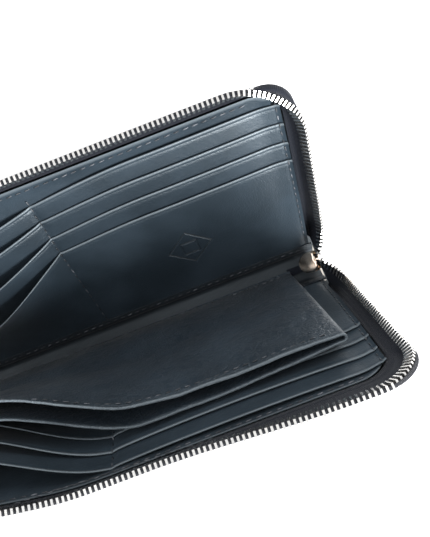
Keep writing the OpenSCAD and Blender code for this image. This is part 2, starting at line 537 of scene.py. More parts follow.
# Painted shade: a darker, rougher copy of the lining for the strip over the spine, which lies deep
# between the leaves and the pouch.
SHADED_SPINE_LINING = replace(
    LINING,
    name="spine_calf",
    dark=(0.004, 0.006, 0.009),
    light=(0.009, 0.013, 0.018),
    roughness=0.55,
)
MARKED = replace(LINING, name="marked_calf", mark=(46.0, 27.5))
POUCH = LeatherFinish(
    "pouch_nappa", Slot.POUCH, (0.006, 0.012, 0.019), (0.019, 0.030, 0.042), 0.36, 0.9, 0.14, 1.0
)
TAPE = TapeFinish("herringbone_tape", Slot.TAPE, (0.0015, 0.0025, 0.006), (0.007, 0.010, 0.018))
NICKEL = MetalFinish("polished_nickel", Slot.METAL, (0.80, 0.79, 0.77), (0.88, 0.86, 0.82), 0.22)
CHAMPAGNE = MetalFinish(
    "champagne_plate", Slot.METAL, (0.88, 0.80, 0.70), (0.93, 0.74, 0.58), 0.13
)
THREAD = ThreadFinish("waxed_thread", Slot.THREAD, (0.012, 0.015, 0.019), (0.15, 0.16, 0.18))
BOARD = SheetFinish("grey_board", Slot.BOARD, (0.36, 0.33, 0.29), (0.52, 0.49, 0.44), 0.0, 0.8)
FOIL = SheetFinish("shield_foil", Slot.FOIL, (0.62, 0.62, 0.63), (0.85, 0.85, 0.85), 1.0, 0.3)


Finish = LeatherFinish | MetalFinish | TapeFinish | ThreadFinish | SheetFinish


class Wardrobe:
    """Makes each finish's material once."""

    def __init__(self) -> None:
        """Starts with no materials made."""
        self._made: dict[str, bpy.types.Material] = {}

    def get(self, finish: Finish) -> bpy.types.Material:
        """The finish's material.

        Args:
            finish: the finish.

        Returns:
            Its material, made at the first call.
        """
        if finish.name not in self._made:
            self._made[finish.name] = finish.make()
        return self._made[finish.name]


WARDROBE = Wardrobe()


# ---------------------------------------------------------------- mesh helpers

Point = tuple[float, float, float]


def smooth(value: float) -> float:
    """A smooth step from 0 to 1."""
    t = min(1.0, max(0.0, value))
    return t * t * (3 - 2 * t)


def hill(value: float, power: float = 1.0) -> float:
    """A hump over 0 to 1 that is 0 at both ends."""
    return math.sin(math.pi * min(1.0, max(0.0, value))) ** power


def spaced(low: float, high: float, step: float, extra: Iterable[float] = ()) -> list[float]:
    """Even stations from low to high, with some extra ones put in.

    Args:
        low: first station.
        high: last station.
        step: rough distance between stations.
        extra: further stations, kept where they lie between low and high.

    Returns:
        The stations in order, none closer than a tenth of a step.
    """
    count = max(1, round((high - low) / step))
    marks = sorted(
        [low + (high - low) * i / count for i in range(count + 1)]
        + [e for e in extra if low < e < high]
    )
    kept = [marks[0]]
    for mark in marks[1:]:
        if mark - kept[-1] > step * 0.1:
            kept.append(mark)
    kept[-1] = high
    return kept


def curve(points: Sequence[Point], t: float) -> Vector:
    """A point on a cubic Bezier curve.

    Args:
        points: the curve's four control points.
        t: place along it, from 0 to 1.

    Returns:
        The point.
    """
    a, b, c, d = (Vector(p) for p in points)
    s = 1 - t
    return a * s**3 + b * (3 * s * s * t) + c * (3 * s * t * t) + d * t**3


def loft(
    stations: Sequence[float],
    profile: Sequence[tuple[float, float]],
    shape: Callable[[float, float, float], Vector],
    worn: Sequence[float] = (),
) -> bmesh.types.BMesh:
    """Sweeps a closed profile through stations and closes its ends.

    Args:
        stations: places along the sweep.
        profile: the closed profile's points, as pairs, without repeating the first.
        shape: gives the point in metres for a station and a profile pair.
        worn: how much painted highlight each point of the profile gets, if the sheet has rolled
            edges.

    Returns:
        A closed mesh with a UV map "cloth" in metres.
    """
    bm = bmesh.new()
    nx, ny = len(stations) - 1, len(profile)
    bmesh.ops.create_grid(bm, x_segments=nx, y_segments=ny, size=0.5)
    grid = {}
    # Stores how much painted highlight each point gets, for the leather shader.
    wear_and_edge_highlight = bm.verts.layers.float.new("worn")
    for vert in bm.verts:
        i, j = round((vert.co.x + 0.5) * nx), round((vert.co.y + 0.5) * ny)
        grid[vert.index] = (i, j)
        vert[wear_and_edge_highlight] = worn[j % ny] if worn else 0.0
        vert.co = shape(stations[i], *profile[j % ny])
    lengths = [0.0]
    for j in range(ny):
        a, b = Vector(profile[j]), Vector(profile[(j + 1) % ny])
        lengths.append(lengths[-1] + (b - a).length * MM)
    layer = bm.loops.layers.uv.new("cloth")
    for face in bm.faces:
        for corner in face.loops:
            i, j = grid[corner.vert.index]
            corner[layer].uv = (stations[i] * MM, lengths[j])
    bmesh.ops.remove_doubles(bm, verts=bm.verts, dist=1e-7)
    bmesh.ops.holes_fill(bm, edges=[e for e in bm.edges if e.is_boundary], sides=0)
    bmesh.ops.recalc_face_normals(bm, faces=bm.faces)
    return bm


def stamp(bm: bmesh.types.BMesh, template: bpy.types.Mesh, matrix: Matrix) -> None:
    """Adds a copy of a small mesh, placed by a matrix.

    Args:
        bm: the mesh that gets the copy.
        template: the small mesh.
        matrix: its place, turn and size.
    """
    start = len(bm.verts)
    bm.from_mesh(template)
    bm.verts.ensure_lookup_table()
    bmesh.ops.transform(bm, matrix=matrix, verts=bm.verts[start:])


def frame_at(place: Vector, along: Vector, up: Vector) -> Matrix:
    """A matrix whose X runs along and whose Z is nearest to up.

    Args:
        place: where the copy stands.
        along: the direction of its X.
        up: the direction its Z leans to.

    Returns:
        The matrix.
    """
    x = along.normalized()
    y = up.cross(x).normalized()
    z = x.cross(y)
    return Matrix.Translation(place) @ Matrix((x, y, z)).transposed().to_4x4()


def finish_piece(
    bm: bmesh.types.BMesh, name: str, finish: Finish, sharp: float = 50.0
) -> bpy.types.Object:
    """Turns a bmesh into a finished object.

    Args:
        bm: the mesh, which is freed.
        name: the piece's name.
        finish: the finish it wears.
        sharp: edges that turn more than this many degrees stay sharp.

    Returns:
        The object, at the origin.
    """
    for face in bm.faces:
        face.smooth = True
    for edge in bm.edges:
        if len(edge.link_faces) == 2 and edge.calc_face_angle(0.0) > math.radians(sharp):
            edge.smooth = False
    mesh = bpy.data.meshes.new(name)
    bm.to_mesh(mesh)
    bm.free()
    piece = bpy.data.objects.new(name, mesh)
    bpy.context.scene.collection.objects.link(piece)
    mesh.materials.append(WARDROBE.get(finish))
    return piece


class Stitcher:
    """Sews rows of short stitches."""

    def __init__(self, length: float = 2.3, width: float = 0.5, pitch: float = 3.4) -> None:
        """Makes the stitch that every row repeats.

        Args:
            length: one stitch's length.
            width: the thread's width.
            pitch: distance from one stitch to the next.
        """
        self.length = length
        self.width = width
        self.pitch = pitch
        self.slant = 0.09
        self.bm = bmesh.new()
        ball = bmesh.new()
        bmesh.ops.create_uvsphere(ball, u_segments=8, v_segments=5, radius=0.5)
        bmesh.ops.rotate(ball, verts=ball.verts, matrix=Matrix.Rotation(math.pi / 2, 3, "Y"))
        bmesh.ops.scale(ball, verts=ball.verts, vec=(length * MM, width * MM, width * 0.8 * MM))
        self.ball = bpy.data.meshes.new("stitch")
        ball.to_mesh(self.ball)
        ball.free()

    def row(self, points: Sequence[Vector], up: Sequence[Vector]) -> None:
        """Sews along a path.

        Args:
            points: the path, in metres.
            up: the surface's outward direction at each of its points.
        """
        travelled, target = 0.0, self.pitch * MM / 2
        for (a, b), n in zip(zip(points, points[1:]), up):
            step = (b - a).length
            while step > 0 and travelled + step >= target:
                place = a.lerp(b, (target - travelled) / step)
                turned = Quaternion(n, self.slant) @ (b - a)
                stamp(self.bm, self.ball, frame_at(place, turned, n))
                target += self.pitch * MM
            travelled += step

    def done(self, name: str) -> bpy.types.Object:
        """The rows sewn so far, as one piece."""
        return finish_piece(self.bm, name, THREAD, 80.0)


# ---------------------------------------------------------------- the panels


@dataclass(frozen=True)
class PanelSpace:
    """Where a panel stands: its fold line, its lean, and the way its layers stack."""

    side: Side
    fold_y: float
    lean: float
    half_l: float
    height: float
    corner_r: float = 14.0
    curl: float = 2.8
    margin: float = 11.0
    warp: float = 0.0

    def edge_distance(self, x: float, height: float) -> float:
        """How far inside the leaf's outline a point lies.

        Args:
            x: place along the spine.
            height: distance up the panel.

        Returns:
            The distance, less than 0 outside.
        """
        r = self.corner_r
        p, q = abs(x) - (self.half_l - r), height - (self.height - r)
        if p > 0 and q > 0:
            return r - math.hypot(p, q)
        return min(self.half_l - abs(x), self.height - height)

    def edge_curl(self, x: float, height: float) -> float:
        """How far the leaf's free edge curls inwards at a point."""
        near = 1.0 - max(0.0, self.edge_distance(x, height)) / self.margin
        return self.curl * max(0.0, near) ** 2 * smooth((height - 8) / 30)

    def lift(self, x: float, height: float) -> float:
        """How far the whole leaf bends inwards."""
        return self.warp * smooth(-(x + 4) / 60) * smooth(height / self.height)

    def laid(self, x: float, depth: float, height: float) -> Vector:
        """A panel point that follows the curl of the free edge, in metres."""
        return self.at(x, depth + self.edge_curl(x, height), height)

    def at(self, x: float, depth: float, height: float) -> Vector:
        """A panel point, in metres.

        Args:
            x: place along the spine.
            depth: distance inwards from the cover's outer face.
            height: distance up the panel from its fold line.

        Returns:
            The point in the frame's axes.
        """
        s, c = math.sin(self.lean), math.cos(self.lean)
        y = self.fold_y + height * s - depth * c
        z = height * c + depth * s
        return Vector((x, y * self.side.value, z)) * MM

    @property
    def inward(self) -> Vector:
        """The direction from the cover towards the inside."""
        return Vector((0, -math.cos(self.lean) * self.side.value, math.sin(self.lean)))

    def rounded(self, x: float, height: float, inset: float = 0.0) -> tuple[float, float]:
        """Moves a point of a square-cornered sheet onto the round-cornered outline.

        Args:
            x: place along the spine.
            height: distance up the panel.
            inset: how far the sheet's outline is inside the leaf's.

        Returns:
            The new place and height.
        """
        r = self.corner_r - inset
        cx, cy = self.half_l - inset - r, self.height - inset - r
        p, q = abs(x) - cx, height - cy
        if p <= 0 or q <= 0:
            return x, height
        radius = max(p, q)
        angle = math.pi / 4 * (q / p if p >= q else 2 - p / q)
        px, py = cx + radius * math.cos(angle), cy + radius * math.sin(angle)
        return math.copysign(px, x), py


@dataclass
class Pocket:
    """How far a pocket layer's mouth stands off the panel in each column."""

    left: float
    right: float
    sag: float = 0.0


@dataclass
class Panel:
    """One leaf of the wallet: lining, stepped pockets, zip tape, teeth and stitches."""

    space: PanelSpace
    pockets: Sequence[Pocket]
    column_w: float = 92.0
    foot: float = 4.0
    slot_depth: float = 53.0
    slot_pitch: float = 8.0
    cards_at: float = 2.8
    card_t: float = 0.75
    tooth_pitch: float = 1.7
    seam: float = 5.2
    pinch: float = 0.22
    pinch_w: float = 1.2
    board_inset: float = 7.0

    @property
    def lining_top(self) -> float:
        """Height of the lining's turned edge."""
        return self.space.height - 3.4

    @property
    def body(self) -> str:
        """The CAD body that the panel's pieces ride on."""
        return f"{self.space.side.word}_panel"

    def name(self, part: str) -> str:
        """A piece's name on this side."""
        return f"{self.space.side.word}_{part}"

    def mouth(self, layer: int) -> float:
        """Height of a layer's mouth; layer 1 is the tallest."""
        return self.foot + self.slot_depth + (len(self.pockets) - layer) * self.slot_pitch

    def stand(self, layer: int, x: float, height: float) -> float:
        """How far a layer stands off the panel, with the pinch of the stitch lines.

        Args:
            layer: the layer's number.
            x: place along the spine.
            height: distance up the panel.

        Returns:
            The distance inwards.
        """
        pocket = self.pockets[layer - 1]
        size = pocket.left if x < 0 else pocket.right
        reach = max(0.0, (height - self.foot) / (self.mouth(layer) - self.foot))
        # A pocket that lies nearly shut bulges over its whole width, an open one in its middle.
        power = 0.6 if size < 4 else 0.85 if self.space.side is Side.FRONT else 1.5
        open_ = size * hill(abs(x) / self.column_w, power) * reach**1.7
        sewn = sum(
            math.exp(-(((x - line) / self.pinch_w) ** 2))
            for line in (-self.column_w, 0.0, self.column_w)
        )
        foot = math.exp(-(((height - self.seam) / self.pinch_w) ** 2))
        ripple = 0.10 * noise.noise(Vector((x / 23, height / 17, layer * 3.1)))
        pulled = self.pinch * max(sewn, foot)
        return open_ - pulled + ripple * reach + self.space.lift(x, height)

    def top_layer(self, height: float) -> int:
        """The layer that shows at a height, or 0 for the lining."""
        return sum(self.mouth(k) > height for k in range(1, len(self.pockets) + 1))

    def surface(self, x: float, height: float) -> Vector:
        """A point on whatever shows at this place.

        Args:
            x: place along the spine.
            height: distance up the panel.

        Returns:
            The point, in metres.
        """
        layer = self.top_layer(height)
        depth = self.cards_at + layer * self.card_t
        if layer:
            return self.space.laid(x, depth + self.stand(layer, x, height), height)
        return self.space.laid(x, depth + self.space.lift(x, height), height)

    def keep(self, piece: bpy.types.Object, *nodes: str) -> bpy.types.Object:
        """Rides a piece on the panel and puts it in place of its CAD nodes.

        Args:
            piece: the piece.
            nodes: the CAD nodes it replaces.

        Returns:
            The same piece.
        """
        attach(piece, self.body)
        if nodes:
            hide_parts(*nodes)
        LOG.info("%s", piece.name)
        return piece

    def card_layer(self, layer: int) -> bpy.types.Object:
        """A pocket layer: a folded sheet with a creased, rolled mouth.

        Args:
            layer: the layer's number, from 1 for the tallest.

        Returns:
            The finished piece.
        """
        top, t = self.mouth(layer), self.card_t - 0.05
        front = [self.foot + (top - 3 - self.foot) * i / 14 for i in range(15)]
        mouth_front = [(-2.1, 0.0), (-1.75, -0.10), (-1.5, -0.15), (-1.25, -0.08), (-0.9, 0.05)]
        lip = [
            (0.42 * math.cos(a) - 0.42, 0.08 + t / 2 * (1 + math.cos(b)) - t)
            for a, b in ((math.radians(d - 90), math.radians(d)) for d in range(20, 161, 28))
        ]
        profile = [(h, 0.0) for h in front]
        profile += [(top + dh, dn) for dh, dn in mouth_front]
        profile += [(top + dh, dn) for dh, dn in lip]
        profile += [(top - 1.2, -t)] + [(h, -t) for h in reversed(front)]
        # Painted highlight along the rolled lip of the mouth.
        worn = [0.0] * 19 + [0.25] + [1.0, 1.0, 0.9, 0.7, 0.4, 0.2]
        worn += [0.0] * (len(profile) - len(worn))
        lines = [-self.column_w, 0.0, self.column_w]
        near = [line + off for line in lines for off in (-1.6, -0.8, 0.0, 0.8, 1.6)]
        edge = self.space.half_l - 3.2
        stations = spaced(-edge, edge, 2.4, near)
        base = self.cards_at + layer * self.card_t

        def shape(x: float, height: float, depth: float) -> Vector:
            """Places a profile point, drawn down where its pocket gapes.

            Args:
                x: place along the spine.
                height: height in the flat sheet.
                depth: offset inwards.

            Returns:
                The point, in metres.
            """
            stand = self.stand(layer, x, height)
            reach = max(0.0, (height - self.foot) / (top - self.foot))
            gape = max(0.0, stand - 0.3)
            drop = gape * gape / (0.95 * (top - self.foot)) * reach
            hang = smooth((40 - x) / 95) * smooth((self.column_w + x) / 35)
            drop += self.pockets[layer - 1].sag * hang * reach**2
            return self.space.laid(x, base + stand + depth, height - drop)

        bm = loft(stations, profile, shape, worn)
        outermost = layer == len(self.pockets) and self.space.side is Side.FRONT
        finish = MARKED if outermost else LINING
        piece = finish_piece(bm, self.name(f"pocket_{layer}"), finish, 60)
        self.keep(piece, self.name(f"card_layer_{layer}"))
        centre = self.space.at(0, base - t / 2, top / 2)
        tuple(self.space.inward)
        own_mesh(piece)
        flat = (2 * edge * MM, (top - self.foot) * MM)
        self.name("lining_leather")
        return piece

    def lining(self) -> bpy.types.Object:
        """The lining behind the pockets, with a turned edge all round its free sides.

        Returns:
            The finished piece.
        """
        top, low, t = self.lining_top, 5.0, 0.34
        turned = [(2.4, 0.0), (2.0, -0.1), (1.7, 0.0), (0.5, 0.12), (0.0, 0.0)]
        profile = [(low + (top - 3 - low) * i / 20, 0.0) for i in range(21)]
        profile += [(top - below, out) for below, out in turned]
        profile += [(top, -t + 0.05), (top - 0.5, -t)]
        profile += [(low + (top - 3 - low) * i / 20, -t) for i in range(20, -1, -1)]
        edge = self.space.half_l - (self.space.height - top)
        stations = spaced(-edge, edge, 3.0)

        def shape(x: float, height: float, depth: float) -> Vector:
            """Places a profile point.

            Args:
                x: place along the spine.
                height: height in the flat sheet.
                depth: offset inwards.

            Returns:
                The point, in metres.
            """
            px, py = self.space.rounded(x, height, self.space.height - top)
            base = self.cards_at - 0.02 + depth
            return self.space.laid(px, base + self.space.lift(x, height), py)

        # Painted highlight along the turned edge.
        worn = [0.0] * 23 + [0.2, 0.8, 0.8] + [0.0] * (len(profile) - 26)
        bm = loft(stations, profile, shape, worn)
        piece = finish_piece(bm, self.name("lining_leather"), LINING)
        flat = (2 * edge * MM, (top - low) * MM)
        self.name("inner_board")
        return self.keep(piece, self.name("lining"))

    def stiffener(
        self, part: str, finish: Finish, depth: float, thick: float
    ) -> bpy.types.Object:
        """A hidden sheet behind the lining, kept well inside the curled edge.

        Args:
            part: the CAD node's name on this side.
            finish: what it is made of.
            depth: its outer face's depth.
            thick: its thickness.

        Returns:
            The piece.
        """
        inset = low = self.board_inset
        top = self.space.height - inset
        rises = spaced(low, top, 6.0)
        profile = [(h, 0.0) for h in rises] + [(h, thick) for h in reversed(rises)]
        edge = self.space.half_l - inset
        stations = spaced(-edge, edge, 6.0)

        def shape(x: float, height: float, out: float) -> Vector:
            """Places a profile point.

            Args:
                x: place along the spine.
                height: height in the flat sheet.
                out: offset inwards.

            Returns:
                The point, in metres.
            """
            px, py = self.space.rounded(x, height, inset)
            return self.space.laid(px, depth + out + self.space.lift(x, height), py)

        piece = finish_piece(loft(stations, profile, shape), self.name(f"inner_{part}"), finish)
        return self.keep(piece, self.name(part))

    def stitches(self) -> bpy.types.Object:
        """Every row of stitches on the leaf's inside.

        Returns:
            The finished piece.
        """
        sew = Stitcher()
        up = self.space.inward
        lift = up * 0.12 * MM
        rises = spaced(self.foot + 2.5, self.lining_top - 4, 0.8)
        for x in (-self.column_w, 0.0, self.column_w):
            line = [self.surface(x, h) + lift for h in rises if h < self.mouth(1) - 1 or x]
            sew.row(line, [up] * len(line))
        run = spaced(-self.column_w + 8, self.column_w - 8, 2.0)
        top = self.lining_top - 2.9
        line = [self.surface(x, top) + lift for x in run]
        sew.row(line, [up] * len(line))
        piece = sew.done(self.name("inner_stitches"))
        return self.keep(piece, self.name("edge_stitches"), self.name("divider_stitches"))


@dataclass
class ZipRow:
    """One leaf's tape and teeth, from the slider round the free edge to the spine's other end.

    STEPS counts the stations at the bend by the spine, up the side, round the corner and along
    half of the free edge. REAR marks the profile codes of the tape's rear face.
    """

    STEPS: ClassVar[tuple[int, int, int, int]] = (14, 22, 21, 31)
    REAR: ClassVar[float] = 100.0

    panel: Panel
    slider_nose: Vector
    row_x: float = 99.0
    row_top: float = 94.2
    row_r: float = 25.0
    row_depth: float = 8.75
    skew: float = 0.0
    corner_bulge: float = 3.0
    tape_t: float = 0.42
    tape_inset: float = 0.9
    foot_depth: float = 1.35
    leave: float = 22.0
    cord: float = 0.55

    def path(self) -> list[tuple[Vector, Vector]]:
        """The row of teeth and the foot of its tape.

        Returns:
            Pairs of panel points (x, depth, height): one in the row, one at the tape's foot.
        """
        right = self._half(1)
        left = [(Vector((-a.x, a.y, a.z)), Vector((-b.x, b.y, b.z))) for a, b in self._half(-1)]
        lifted = []
        for row, foot in right + list(reversed(left))[1:]:
            share = smooth((row.x - 15) / 65) * smooth((row.z - 50) / 40)
            row = row + Vector((0, 0, self.skew * share))
            rise = self.panel.space.lift(row.x, row.z)
            curl = self.panel.space.edge_curl(foot.x, foot.z)
            lifted.append((row + Vector((0, rise, 0)), foot + Vector((0, rise + curl, 0))))
        return lifted

    def _half(self, end: int) -> list[tuple[Vector, Vector]]:
        """Half of the path, from an end of the spine to the middle of the free edge.

        Args:
            end: 1 for the slider's end of the spine, -1 for the other.

        Returns:
            Pairs of a point in the row and a point at the foot.
        """
        space = self.panel.space
        half, top, r = self.row_x, self.row_top, self.row_r
        foot_x, foot_top = space.half_l - self.tape_inset, space.height - self.tape_inset
        foot_d = self.foot_depth
        nose = self.slider_nose if end > 0 else Vector((space.half_l - 5.5, 10.2, 1.5))
        reach = 2.2 if end > 0 else 1.2
        tail = [
            nose,
            nose + Vector((reach, 0.0, 2.6)),
            Vector((half, self.row_depth + 0.3, self.leave - 9)),
            Vector((half, self.row_depth, self.leave)),
        ]
        hem = [
            nose + Vector((0.9, -4.2, -2.2)) if end > 0 else nose + Vector((1.0, -6.0, 1.0)),
            Vector((foot_x - 0.6, 5.0, 4.0)),
            Vector((foot_x, foot_d, 9.0)),
            Vector((foot_x, foot_d, self.leave)),
        ]
        bend, side, corner, edge = self.STEPS
        found = [(curve(tail, i / bend), curve(hem, i / bend)) for i in range(bend)]
        for i in range(side):
            rise = self.leave + (top - r - self.leave) * i / side
            found.append((Vector((half, self.row_depth, rise)), Vector((foot_x, foot_d, rise))))
        for i in range(corner):
            a = math.pi / 2 * i / corner
            way = Vector((math.cos(a), 0, math.sin(a)))
            row = Vector((half - r, 0, top - r)) + way * r
            foot = self._hem_point(Vector((half - r, 0, top - r)), way)
            found.append((row + Vector((0, self.row_depth, 0)), foot + Vector((0, foot_d, 0))))
        for i in range(edge + 1):
            x = (half - r) * (1 - i / edge)
            found.append((Vector((x, self.row_depth, top)), Vector((x, foot_d, foot_top))))
        return found

    def _hem_point(self, centre: Vector, way: Vector) -> Vector:
        """Where a line from a point of the leaf meets the tape's foot.

        Args:
            centre: the corner's centre.
            way: the direction outwards from it.

        Returns:
            The point at the foot.
        """
        near, far = 0.0, 60.0
        for _ in range(24):
            middle = (near + far) / 2
            spot = centre + way * middle
            inside = self.panel.space.edge_distance(spot.x, spot.z) > self.tape_inset
            near, far = (middle, far) if inside else (near, middle)
        return centre + way * near

    def _outward(self, feet: Sequence[Vector], i: int) -> Vector:
        """Direction away from the leaf's middle at a station, in its own plane.

        Args:
            feet: the tape's foot, station by station.
            i: the station's number.

        Returns:
            The direction.
        """
        a, b = feet[max(0, i - 1)], feet[min(len(feet) - 1, i + 1)]
        run = (b - a).normalized()
        return Vector((run.z, 0, -run.x))

    def tape(self) -> bpy.types.Object:
        """The tape: a sewn flange that turns up into a wall, its free edge in the teeth.

        Returns:
            The finished piece.
        """
        path = self.path()
        space = self.panel.space
        feet = [foot for _, foot in path]
        marks = [0.0]
        for (a, _), (b, _) in zip(path, path[1:]):
            marks.append(marks[-1] + (b - a).length)
        index = {mark: i for i, mark in enumerate(marks)}
        ts = [0.0, 0.12, 0.26, 0.42, 0.58, 0.74, 0.88, 0.95]
        profile = [(-4.6, -1.0), (-2.6, -1.0), (-0.7, -1.0)] + [(0.0, t) for t in ts]
        profile += [(self.REAR, t) for t in reversed(ts)]
        profile += [(99.1, 1.0), (97.4, 1.0), (95.4, 1.0)]

        def shape(mark: float, code: float, t: float) -> Vector:
            """Places a profile point: the flange lies flat, the wall bends to the row.

            Args:
                mark: distance along the row.
                code: offset outwards of the foot, plus 100 on the rear face.
                t: share of the way up the wall.

            Returns:
                The point, in metres.
            """
            i = index[mark]
            row, foot = path[i]
            outward = self._outward(feet, i)
            back = code > self.REAR / 2
            offset = code - self.REAR if back else code
            if abs(t) == 1.0 and offset < -0.5:
                spot = foot + outward * offset
                curl = space.edge_curl(spot.x, spot.z) + space.lift(row.x, row.z)
                off = max(0.0, foot.y - self.foot_depth - curl)
                spot = foot + outward * (offset * max(0.12, 1.0 - off / 3.0))
                return space.at(spot.x, (1.28 if back else 1.62) + curl + off, spot.z)
            wall = (row - foot).normalized()
            at_corner = hill((math.degrees(math.atan2(outward.z, abs(outward.x))) - 4) / 82)
            bulge = 0.7 + self.corner_bulge * at_corner
            spot = foot.lerp(row + wall * 0.85, t / 0.95) + outward * (bulge * hill(t * 0.93))
            side = wall.cross(outward).cross(wall).normalized()
            cord = self.cord * smooth((t - 0.72) / 0.14) * (1.0 if t < 0.94 else 0.6)
            spot += side * ((self.tape_t / 2 + cord) * (1 if back else -1))
            return space.at(spot.x, spot.y, spot.z)

        piece = finish_piece(loft(marks, profile, shape), self.panel.name("woven_tape"), TAPE, 70)
        wall = sum((row - foot).length for row, foot in path) / len(path)
        self.panel.name("lining_leather")
        return self._blend(piece, "zip_tape")

    def teeth(self) -> bpy.types.Object:
        """The row of teeth at even spacing.

        Returns:
            The finished piece.
        """
        path = self.path()
        space = self.panel.space
        rows = [space.at(row.x, row.y, row.z) for row, _ in path]
        ups = [space.at(*(row - foot)) - space.at(0, 0, 0) for row, foot in path]
        bm = bmesh.new()
        template = self._tooth()
        pitch = self.panel.tooth_pitch * MM
        travelled, target = 0.0, pitch * 0.8
        for i, (a, b) in enumerate(zip(rows, rows[1:])):
            step = (b - a).length
            while travelled + step >= target:
                place = a.lerp(b, (target - travelled) / step)
                stamp(bm, template, frame_at(place, b - a, ups[i]))
                target += pitch
            travelled += step
        bmesh.ops.recalc_face_normals(bm, faces=bm.faces)
        piece = finish_piece(bm, self.panel.name("metal_teeth"), NICKEL, 40)
        return self._blend(piece, "zip_teeth")

    def _tooth(self) -> bpy.types.Mesh:
        """One tooth: two legs that clamp the tape, and a rounded head with a nib.

        Returns:
            Its small mesh, in metres.
        """
        bm = bmesh.new()
        bmesh.ops.create_cube(bm, size=1.0)
        bmesh.ops.scale(bm, verts=bm.verts, vec=(1.05, 2.7, 3.3))
        top = [f for f in bm.faces if f.normal.z > 0.9]
        moved = bmesh.ops.extrude_discrete_faces(bm, faces=top)["faces"]
        bmesh.ops.delete(bm, geom=moved, context="FACES_ONLY")
        upper = [v for v in bm.verts if v.co.z > 0.5]
        bmesh.ops.scale(bm, verts=upper, vec=(0.72, 0.74, 1.0))
        bmesh.ops.bevel(
            bm,
            geom=list(bm.edges),
            offset=0.17,
            segments=1,
            profile=0.5,
            affect="EDGES",
            material=-1,
        )
        bmesh.ops.holes_fill(bm, edges=[e for e in bm.edges if e.is_boundary], sides=0)
        bmesh.ops.scale(bm, verts=bm.verts, vec=(MM, MM, MM))
        mesh = bpy.data.meshes.new("tooth")
        bm.to_mesh(mesh)
        bm.free()
        return mesh

    def _blend(self, piece: bpy.types.Object, node: str) -> bpy.types.Object:
        """Bakes a piece's placement into its mesh and hides the CAD node that it replaces.

        Args:
            piece: the piece.
            node: the CAD node's name on this side.

        Returns:
            The same piece.
        """
        space = self.panel.space
        still, carried = (
            (0.0, y * space.side.value * MM, 8.0 * MM) for y in (1.4, space.fold_y + 3.2)
        )
        self.panel.body
        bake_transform(piece)
        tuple(still)
        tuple(carried)
        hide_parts(self.panel.name(node))
        LOG.info("%s", piece.name)
        return piece


# ---------------------------------------------------------------- cover and spine


@dataclass
class Cover:
    """Half of the outer leather: from the middle of the spine over the fold to the free edge.

    LEAF marks the profile codes of the flat leaf: LEAF plus the height above the fold line.
    """

    LEAF: ClassVar[float] = 100.0

    space: PanelSpace
    thickness: float = 1.2
    fold_r: float = 2.4
    stitch_inset: float = 2.6

    def _run(self) -> list[tuple[float, float, float, float]]:
        """The outer face's course: y, z and the outward direction, up to the fold's end.

        Returns:
            The course, point by point.
        """
        space = self.space
        reach = self.fold_r * math.tan((math.pi / 2 - space.lean) / 2)
        cy, cz = space.fold_y - reach, self.fold_r
        found = [(cy * t, 0.0, 0.0, -1.0) for t in (0.0, 0.25, 0.5, 0.75, 1.0)]
        turn = math.pi / 2 - space.lean
        for i in range(1, 9):
            s, c = math.sin(turn * i / 8), math.cos(turn * i / 8)
            found.append((cy + self.fold_r * s, cz - self.fold_r * c, s, -c))
        return found

    def build(self) -> bpy.types.Object:
        """Builds the half cover, which runs from the spine over the fold.

        Returns:
            The finished piece.
        """
        space, t = self.space, self.thickness
        run = self._run()
        outer = [(float(i), 0.0) for i in range(len(run))]
        low = self.fold_r * math.tan((math.pi / 2 - space.lean) / 2) + 1.5
        rise = spaced(low, space.height - 0.6, 4.0)
        outer += [(self.LEAF + h, 0.0) for h in rise]
        edge = [
            (self.LEAF + space.height - 0.6 + 0.6 * math.sin(a), t / 2 * (1 - math.cos(a)))
            for a in (math.radians(d) for d in (30, 60, 90, 120, 150))
        ]
        inner = [(code, t) for code, _ in reversed(outer)]
        profile = outer + edge + inner
        half = space.half_l
        ends = [half - 0.15, half - 0.45, half - 1.0]
        stations = spaced(-half, half, 3.2, ends + [-e for e in ends])

        def shape(x: float, code: float, depth: float) -> Vector:
            """Places a profile point, thinning the leather at its two ends.

            Args:
                x: place along the spine.
                code: number in the fold's course, or 100 plus the height.
                depth: depth below the outer face.

            Returns:
                The point, in metres.
            """
            near = (half - abs(x)) / 0.5
            thin = 0.35 + 0.65 * math.sqrt(min(1.0, max(0.0, near)))
            d = t / 2 + (depth - t / 2) * thin
            if code < self.LEAF / 2:
                y, z, ny, nz = run[int(code)]
                return Vector((x, (y - ny * d) * space.side.value, z - nz * d)) * MM
            px, py = space.rounded(x, code - self.LEAF)
            return space.laid(px, d + space.lift(px, py), py)

        piece = finish_piece(
            loft(stations, profile, shape), f"{space.side.word}_outer_leather", COVER, 60
        )
        end = space.at(0, 0, 4.2)
        start = (0.0, (space.fold_y - 2.2) * space.side.value * MM, 0.0)
        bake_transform(piece)
        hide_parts(f"{space.side.word}_cover")
        if space.side is Side.FRONT:
            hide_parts("spine_cover")
        LOG.info("%s", piece.name)
        return piece

    def stitches(self) -> bpy.types.Object:
        """A row of stitches round the free edge, on the outside.

        Returns:
            The finished piece.
        """
        space = self.space
        sew = Stitcher(2.4, 0.5, 3.5)
        half, top = space.half_l - self.stitch_inset, space.height - self.stitch_inset
        r = space.corner_r - self.stitch_inset
        arc = [math.pi / 2 * i / 12 for i in range(13)]
        line = [(half, h) for h in spaced(7, top - r, 3)[:-1]]
        line += [(half - r + r * math.cos(a), top - r + r * math.sin(a)) for a in arc]
        line += [(-x, h) for x, h in reversed(line)]
        points = [space.laid(x, space.lift(x, h) - 0.05, h) for x, h in line]
        sew.row(points, [-space.inward] * len(points))
        piece = sew.done(f"{space.side.word}_outer_stitches")
        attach(piece, f"{space.side.word}_panel")
        LOG.info("%s", piece.name)
        return piece


